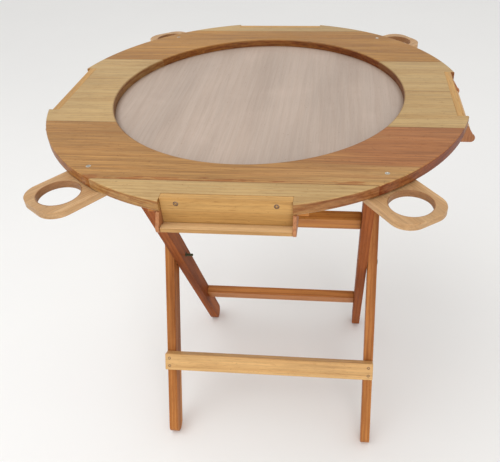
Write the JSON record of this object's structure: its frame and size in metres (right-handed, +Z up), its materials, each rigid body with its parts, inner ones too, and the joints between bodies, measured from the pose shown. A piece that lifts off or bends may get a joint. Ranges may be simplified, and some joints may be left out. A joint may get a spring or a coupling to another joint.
{
  "type": "folding table",
  "caption": "Round folding games table with a recessed playing panel, a tile rack on each side, swing-out cup holders and crossed wooden leg frames that fold flat.",
  "frame": {"origin": "on the floor, under the middle of the round top", "axes": "+Z up; -Y towards the front tile rack, where the outer frame's feet stand; +X to the right seen from the front"},
  "size_m": [0.736, 0.736, 0.775],
  "materials": {
    "pale_wood": "satin varnish",
    "light_wood": "satin varnish",
    "golden_wood": "satin varnish",
    "red_wood": "satin varnish",
    "cup_wood": "satin varnish",
    "panel_board": "satin",
    "dark_screws": "dull",
    "zinc_steel": "satin",
    "weathered_steel": "dull"
  },
  "bodies": {
    "tabletop": {"front_edge_board": "pale_wood", "front_board": "golden_wood", "left_front_board": "light_wood", "right_front_board": "light_wood", "left_back_board": "light_wood", "right_back_board": "light_wood", "back_board": "golden_wood", "back_edge_board": "pale_wood", "playing_panel": "panel_board", "front_rack_back": "golden_wood", "front_rack_ledge": "pale_wood", "front_rack_cheeks": "red_wood", "front_rack_rail": "red_wood", "right_rack_back": "golden_wood", "right_rack_ledge": "pale_wood", "right_rack_cheeks": "red_wood", "right_rack_rail": "red_wood", "back_rack_back": "golden_wood", "back_rack_ledge": "pale_wood", "back_rack_cheeks": "red_wood", "back_rack_rail": "red_wood", "left_rack_back": "golden_wood", "left_rack_ledge": "pale_wood", "left_rack_cheeks": "red_wood", "left_rack_rail": "red_wood", "right_hinge_cleat": "red_wood", "left_hinge_cleat": "red_wood", "right_seat_block": "red_wood", "left_seat_block": "red_wood", "rack_screws": "dark_screws", "cleat_screws": "dark_screws", "panel_screws": "zinc_steel", "hinge_bolts": "zinc_steel", "hinge_nuts": "zinc_steel", "cup_washers": "zinc_steel", "cup_nuts": "zinc_steel", "cup_pivot_screws": "zinc_steel"},
    "inner_frame": {"inner_right_leg": "red_wood", "inner_left_leg": "red_wood", "inner_low_rail": "red_wood", "inner_high_rail": "red_wood", "inner_rail_screws": "dark_screws"},
    "outer_frame": {"outer_right_leg": "golden_wood", "outer_left_leg": "golden_wood", "outer_low_rail": "golden_wood", "outer_top_rail": "golden_wood", "outer_rail_screws": "dark_screws", "pivot_bolts": "weathered_steel", "pivot_washers": "zinc_steel", "pivot_nuts": "weathered_steel"},
    "front_right_holder": {"cup_holder_front_right": "cup_wood"},
    "front_left_holder": {"cup_holder_front_left": "cup_wood"},
    "back_right_holder": {"cup_holder_back_right": "cup_wood"},
    "back_left_holder": {"cup_holder_back_left": "cup_wood"}
  },
  "joints": [
    {"name": "leg_fold", "type": "hinge", "parent": "tabletop", "child": "inner_frame", "pos_m": [0, -0.169, 0.715], "axis": [-1, 0, 0], "range_deg": [0, 116.9]},
    {"name": "leg_scissor", "type": "hinge", "parent": "inner_frame", "child": "outer_frame", "pos_m": [0, 0, 0.382], "axis": [1, 0, 0], "range_deg": [0, 53.83]},
    {"name": "front_right_cup_swing", "type": "hinge", "parent": "tabletop", "child": "front_right_holder", "pos_m": [0.21508, -0.27039, 0.7502], "axis": [0, 0, 1], "range_deg": [-120, 100]},
    {"name": "front_left_cup_swing", "type": "hinge", "parent": "tabletop", "child": "front_left_holder", "pos_m": [-0.21508, -0.27039, 0.7502], "axis": [0, 0, 1], "range_deg": [-100, 120]},
    {"name": "back_right_cup_swing", "type": "hinge", "parent": "tabletop", "child": "back_right_holder", "pos_m": [0.21508, 0.27039, 0.7502], "axis": [0, 0, 1], "range_deg": [-60, 125]},
    {"name": "back_left_cup_swing", "type": "hinge", "parent": "tabletop", "child": "back_left_holder", "pos_m": [-0.21508, 0.27039, 0.7502], "axis": [0, 0, 1], "range_deg": [-125, 75]}
  ],
  "couplings": [
    {"joint": "leg_scissor", "follows": "leg_fold", "ratio": 0.46033}
  ]
}
